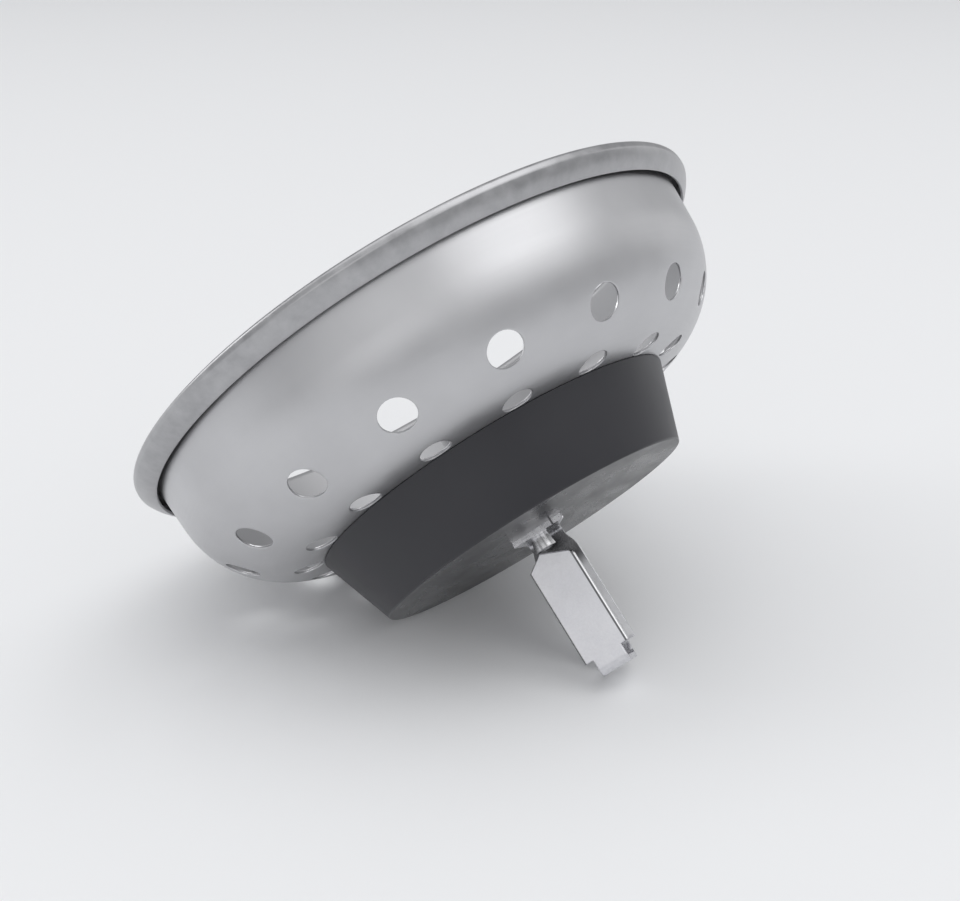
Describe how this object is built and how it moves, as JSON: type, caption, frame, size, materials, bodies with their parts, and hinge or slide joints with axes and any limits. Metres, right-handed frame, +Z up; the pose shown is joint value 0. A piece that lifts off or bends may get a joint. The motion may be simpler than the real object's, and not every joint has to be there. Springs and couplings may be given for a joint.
{
  "type": "sink strainer",
  "caption": "Round perforated metal basket with a turned rim, a pull knob, a tapered rubber stopper and a folded spring clip, which catches scraps in a sink drain and closes it.",
  "frame": {"origin": "on the axis, at the middle of the cylindrical land round the rim", "axes": "+Z up along the axis, out of the drain towards the knob; -Y the way the clip's spring leaf faces; +X to the right of it"},
  "size_m": [0.0826, 0.0826, 0.0501],
  "materials": {
    "basket_steel": "satin stainless sheet",
    "stopper_rubber": "matt dark grey rubber",
    "post_steel": "turned steel",
    "knob_steel": "polished steel",
    "clip_zinc": "zinc-plated spring strip",
    "leaf_zinc": "zinc-plated spring strip"
  },
  "bodies": {
    "strainer": {"basket": "basket_steel", "stopper": "stopper_rubber", "post": "post_steel", "knob": "knob_steel", "clip": "clip_zinc"},
    "leaf": {"clip_leaf": "leaf_zinc"}
  },
  "joints": [
    {"name": "leaf_flex", "type": "hinge", "parent": "strainer", "child": "leaf", "pos_m": [0, -0.0012, -0.04825], "axis": [-1, 0, 0], "range_deg": [0, 5], "stiffness_Nm_per_rad": 3}
  ]
}
